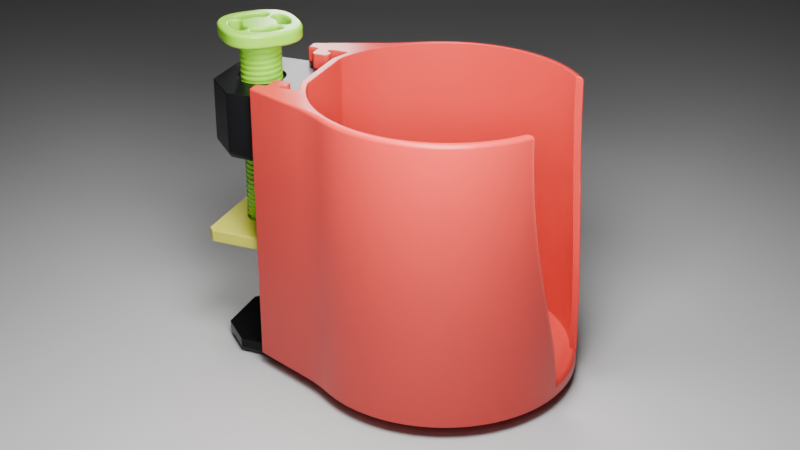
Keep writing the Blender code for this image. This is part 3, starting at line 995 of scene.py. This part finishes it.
# ---- screw --------------------------------------------------------------------------------------
@dataclass
class Thread:
    """The clamp's right-hand thread, as a bar for the screw or a cutter for its hole."""

    crest_radius: float = 7.2 * MM
    root_radius: float = 6.85 * MM
    pitch: float = 1.9 * MM
    clearance: float = 0.35 * MM
    phase_z: float = 1.39 * MM
    steps: int = 48
    ridge: tuple[Point2, ...] = ((0.0, 0.0), (0.20, 0.0), (0.29, 0.07), (0.41, 0.93), (0.50, 1.0),
                                 (0.70, 1.0), (0.79, 0.93), (0.91, 0.07))

    def bar(self, low: float, high: float, growth: float = 0.0) -> bmesh.types.BMesh:
        """Sweep the thread's ridge up a helix and close both ends.

        Args:
            low: The bar reaches below this height.
            high: The bar reaches above this height.
            growth: How much every radius grows.

        Returns:
            The closed bar.
        """
        start = self.phase_z + self.pitch * (math.floor((low - self.phase_z) / self.pitch) - 1)
        turns = math.ceil((high - start) / self.pitch) + 1
        bm = bmesh.new()
        profile = []
        for share, height in (*self.ridge, (1.0, 0.0)):
            radius = self.root_radius + (self.crest_radius - self.root_radius) * height + growth
            profile.append(bm.verts.new((radius, 0.0, start + self.pitch * share)))
        edges = [bm.edges.new(pair) for pair in zip(profile, profile[1:])]
        bmesh.ops.spin(bm, geom=profile + edges, cent=(0, 0, 0), axis=(0, 0, 1),
                       dvec=(0.0, 0.0, self.pitch / self.steps), angle=math.tau,
                       steps=self.steps, use_merge=False, use_duplicate=False)
        one_turn = list(bm.verts) + list(bm.edges) + list(bm.faces)
        for turn in range(1, turns):
            copied = bmesh.ops.duplicate(bm, geom=one_turn)["geom"]
            verts = [item for item in copied if isinstance(item, bmesh.types.BMVert)]
            bmesh.ops.translate(bm, verts=verts, vec=(0.0, 0.0, self.pitch * turn))
        bmesh.ops.remove_doubles(bm, verts=bm.verts, dist=MERGE)
        rims = [edge for edge in bm.edges if edge.is_boundary]
        caps = bmesh.ops.extrude_edge_only(bm, edges=rims)
        tips = [item for item in caps["geom"] if isinstance(item, bmesh.types.BMVert)]
        middle = start + self.pitch * turns / 2.0
        foot = [vert for vert in tips if vert.co.z < middle]
        head = [vert for vert in tips if vert.co.z >= middle]
        bmesh.ops.pointmerge(bm, verts=foot, merge_co=(0.0, 0.0, start - self.pitch))
        bmesh.ops.pointmerge(bm, verts=head, merge_co=(0.0, 0.0, start + self.pitch * (turns + 2)))
        bmesh.ops.recalc_face_normals(bm, faces=bm.faces)
        return bm


@dataclass
class ScrewAndWheel:
    """The clamp screw: hand wheel, thread, and the bead that snaps into the pad."""

    wheel_thickness: float = 5.0 * MM
    wheel_radius: float = 14.35 * MM
    wheel_lobe: float = 0.65 * MM
    wheel_rounding: float = 1.2 * MM
    window_inner: float = 6.0 * MM
    window_outer: float = 10.5 * MM
    window_half_angle: float = math.radians(36.0)
    window_corner: float = 1.8 * MM
    window_edge: float = 0.7 * MM
    window_undercut: float = 0.3 * MM
    thread_bottom_z: float = 42.2 * MM
    neck_radius: float = 6.4 * MM
    bead_radius: float = 7.1 * MM
    bead_edge: float = 0.5 * MM
    bead_soft_share: float = 0.15
    bead_height: float = 1.1 * MM
    bead_top: float = 1.8 * MM
    end_clearance: float = 0.7 * MM
    end_rise: float = 1.4 * MM
    wheel_steps: int = 192
    pin_steps: int = 64
    window_outer_steps: int = 20
    window_inner_steps: int = 14
    window_corner_steps: int = 6

    def wheel_outline(self) -> list[Point2]:
        """Lay out the wheel's plan, a circle with four shallow lobes.

        Returns:
            The outline, counter-clockwise.
        """
        points = []
        for index in range(self.wheel_steps):
            angle = math.tau * index / self.wheel_steps
            radius = self.wheel_radius + self.wheel_lobe * math.cos(4.0 * angle)
            points.append((radius * math.cos(angle), radius * math.sin(angle)))
        return points

    def window_outline(self, middle: float) -> list[Point2]:
        """Lay out one arched window between two spokes.

        Args:
            middle: Direction of the window's middle, in radians.

        Returns:
            The outline, counter-clockwise.
        """
        trim = self.window_corner / self.window_outer
        low = middle - self.window_half_angle + trim
        high = middle + self.window_half_angle - trim
        right = math.pi / 2.0
        outer_centre = self.window_outer - self.window_corner
        inner_centre = self.window_inner + self.window_corner
        fine = self.window_corner_steps
        points = arc((0.0, 0.0), self.window_outer, low, high, self.window_outer_steps)
        for angle, turn in ((high, 1.0), (low, -1.0)):
            outer = (outer_centre * math.cos(angle), outer_centre * math.sin(angle))
            inner = (inner_centre * math.cos(angle), inner_centre * math.sin(angle))
            if turn > 0.0:
                points.extend(arc(outer, self.window_corner, angle, angle + right, fine)[1:])
                points.extend(arc(inner, self.window_corner, angle + right, angle + math.pi, fine)[1:])
                points.extend(arc((0.0, 0.0), self.window_inner, high, low,
                                  self.window_inner_steps)[1:-1])
            else:
                points.extend(arc(inner, self.window_corner, angle - math.pi, angle - right, fine))
                points.extend(arc(outer, self.window_corner, angle - right, angle, fine)[1:-1])
        return points

    def build(self, thread: Thread) -> bpy.types.Object:
        """Build the screw with its wheel and dress it.

        Args:
            thread: The screw's thread.

        Returns:
            The piece.
        """
        low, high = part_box(Node.SCREW.value)
        wheel_low = high.z - self.wheel_thickness
        wheel = mesh_object("screw_and_wheel", cushioned_prism(
            self.wheel_outline(), wheel_low, high.z, self.wheel_rounding))
        embedded = high.z - self.wheel_thickness / 2.0
        ends = turned([
            (0.0, self.thread_bottom_z),
            (thread.root_radius, self.thread_bottom_z),
            (thread.crest_radius + self.end_clearance, self.thread_bottom_z + self.end_rise),
            (thread.crest_radius + self.end_clearance, embedded),
            (0.0, embedded),
        ])
        bar = mesh_object("thread_bar", thread.bar(self.thread_bottom_z, embedded))
        carve(bar, "INTERSECT", ends)
        bm = bmesh.new()
        bm.from_mesh(bar.data)
        bpy.data.objects.remove(bar, do_unlink=True)
        carve(wheel, "UNION", bm)
        soft = self.bead_soft_share * self.bead_edge
        neck_top = self.thread_bottom_z + thread.pitch / 2.0
        pin = turned([
            (0.0, low.z),
            (self.bead_radius - self.bead_edge, low.z),
            (self.bead_radius - soft, low.z + soft),
            (self.bead_radius, low.z + self.bead_edge),
            (self.bead_radius, low.z + self.bead_height),
            (self.neck_radius, low.z + self.bead_top),
            (self.neck_radius, neck_top),
            (0.0, neck_top),
        ], steps=self.pin_steps)
        carve(wheel, "UNION", pin)
        for quarter in range(4):
            outline = self.window_outline(math.tau / 8.0 + quarter * math.tau / 4.0)
            window = cushioned_prism(outline, wheel_low - self.window_undercut, high.z,
                                     -self.window_edge)
            carve(wheel, "DIFFERENCE", window)
        dress(wheel, Plastic.GREEN, Body.SCREW, Node.SCREW)
        return wheel


# ---- pad ----------------------------------------------------------------------------------------
@dataclass
class PressurePad:
    """The pad that presses on the desk, with the socket that the screw's end snaps into."""

    corner_cut: float = 2.0 * MM
    edge_rounding: float = 0.35 * MM
    socket_floor: float = 1.0 * MM
    socket_radius: float = 7.5 * MM
    lip_radius: float = 6.8 * MM
    mouth_radius: float = 7.6 * MM
    lip_depth: float = 0.7 * MM
    lip_under: float = 0.9 * MM
    socket_under: float = 1.6 * MM
    mouth_overcut: float = 0.1 * MM
    corner_rounding: float = 0.6 * MM
    corner_steps: int = 4

    def build(self) -> bpy.types.Object:
        """Build the pad and dress it.

        Returns:
            The piece.
        """
        low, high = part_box(Node.PAD.value)
        cut = self.corner_cut
        corners = [
            (low.x + cut, low.y), (high.x - cut, low.y), (high.x, low.y + cut),
            (high.x, high.y - cut), (high.x - cut, high.y), (low.x + cut, high.y),
            (low.x, high.y - cut), (low.x, low.y + cut),
        ]
        rounded = rounded_corners([(*point, self.corner_rounding) for point in
                                   (corners[-1], *corners, corners[0])], self.corner_steps)[1:-1]
        pad = mesh_object("pad_body", cushioned_prism(rounded, low.z, high.z, self.edge_rounding))
        floor_z = low.z + self.socket_floor
        socket = turned([
            (0.0, floor_z),
            (self.socket_radius, floor_z),
            (self.socket_radius, high.z - self.socket_under),
            (self.lip_radius, high.z - self.lip_under),
            (self.lip_radius, high.z - self.lip_depth),
            (self.mouth_radius, high.z + self.mouth_overcut),
            (0.0, high.z + self.mouth_overcut),
        ])
        carve(pad, "DIFFERENCE", socket)
        dress(pad, Plastic.YELLOW, Body.PAD, Node.PAD)
        return pad


# ---- studio -------------------------------------------------------------------------------------
@dataclass(frozen=True)
class SoftLamp:
    """One square soft light."""

    name: str
    place: tuple[float, float, float]
    facing: tuple[float, float, float]
    size: float
    power: float
    spread: float = 180.0


@dataclass
class Studio:
    """The floor, the soft lights and the camera."""

    camera_place: tuple[float, float, float] = (-0.4133, -0.2205, 0.2679)
    camera_aim: tuple[float, float, float] = (0.8290, 0.3400, -0.4441)
    lens: float = 65.19
    floor_size: float = 6.0
    floor_colour: Colour = (0.50, 0.50, 0.50)
    sky: float = 0.024
    lamps: tuple[SoftLamp, ...] = (
        SoftLamp("overhead_lamp", (-0.12, -0.10, 0.24), (0.0, 0.0, -1.0), 0.10, 0.98, 158.0),
        SoftLamp("edge_lamp", (0.02, 0.0, 0.24), (-0.47, -0.24, -0.85), 0.10, 0.245),
        SoftLamp("front_lamp", (-0.32, -0.10, 0.28), (0.81, 0.14, -0.57), 0.20, 0.06),
        SoftLamp("wall_lamp", (-0.17, -0.13, 0.17), (0.75, 0.30, -0.12), 0.07, 0.19, 80.0),
        SoftLamp("high_lamp", (0.0, 0.0, 0.55), (-0.10, -0.10, -0.55), 0.16, 0.08, 60.0),
        SoftLamp("back_lamp", (0.095, 0.028, 0.135), (-0.10, -0.05, -0.03), 0.035, 0.022, 110.0),
    )

    def floor(self) -> bpy.types.Object:
        """Lay the pale floor under the clamp.

        Returns:
            The floor.
        """
        low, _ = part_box(Node.FRAME.value)
        bm = bmesh.new()
        bmesh.ops.create_grid(bm, x_segments=8, y_segments=8, size=self.floor_size / 2.0)
        bmesh.ops.translate(bm, verts=bm.verts, vec=(0.0, 0.0, low.z))
        sheet = mesh_object("studio_floor", bm)
        sheet.data.materials.append(studio_paper("studio_paper", self.floor_colour))
        return sheet

    def area_light(self, lamp: SoftLamp) -> bpy.types.Object:
        """Hang one square soft light.

        Args:
            lamp: Where it hangs, where it faces, and how strong it is.

        Returns:
            The light.
        """
        data = bpy.data.lights.new(lamp.name, "AREA")
        data.shape = "SQUARE"
        data.size = lamp.size
        data.energy = lamp.power
        data.spread = math.radians(lamp.spread)
        light = bpy.data.objects.new(lamp.name, data)
        light.location = lamp.place
        light.rotation_mode = "QUATERNION"
        light.rotation_quaternion = Vector(lamp.facing).to_track_quat("-Z", "Y")
        light.visible_camera = False
        bpy.context.scene.collection.objects.link(light)
        return light

    def camera(self) -> bpy.types.Object:
        """Set up the camera.

        Returns:
            The camera.
        """
        data = bpy.data.cameras.new("camera")
        data.lens = self.lens
        data.sensor_width = 36.0
        data.clip_start = 0.01
        data.clip_end = 50.0
        camera = bpy.data.objects.new("camera", data)
        camera.location = self.camera_place
        camera.rotation_mode = "QUATERNION"
        camera.rotation_quaternion = Vector(self.camera_aim).to_track_quat("-Z", "Y")
        bpy.context.scene.collection.objects.link(camera)
        bpy.context.scene.camera = camera
        return camera

    def build(self) -> None:
        """Set up the whole studio."""
        self.camera()
        self.floor()
        for lamp in self.lamps:
            self.area_light(lamp)
        world = bpy.data.worlds.new("dim_room")
        world.use_nodes = True
        world.node_tree.nodes["Background"].inputs["Color"].default_value = (self.sky,) * 3 + (1.0,)
        bpy.context.scene.world = world


def main() -> None:
    """Build every sub-assembly in order."""
    logging.basicConfig(level=logging.INFO, format="%(message)s")
    thread = Thread()
    Studio().build()
    ClampBody().build(thread)
    Cup().build()
    ScrewAndWheel().build(thread)
    PressurePad().build()


if __name__ == "__main__":
    main()
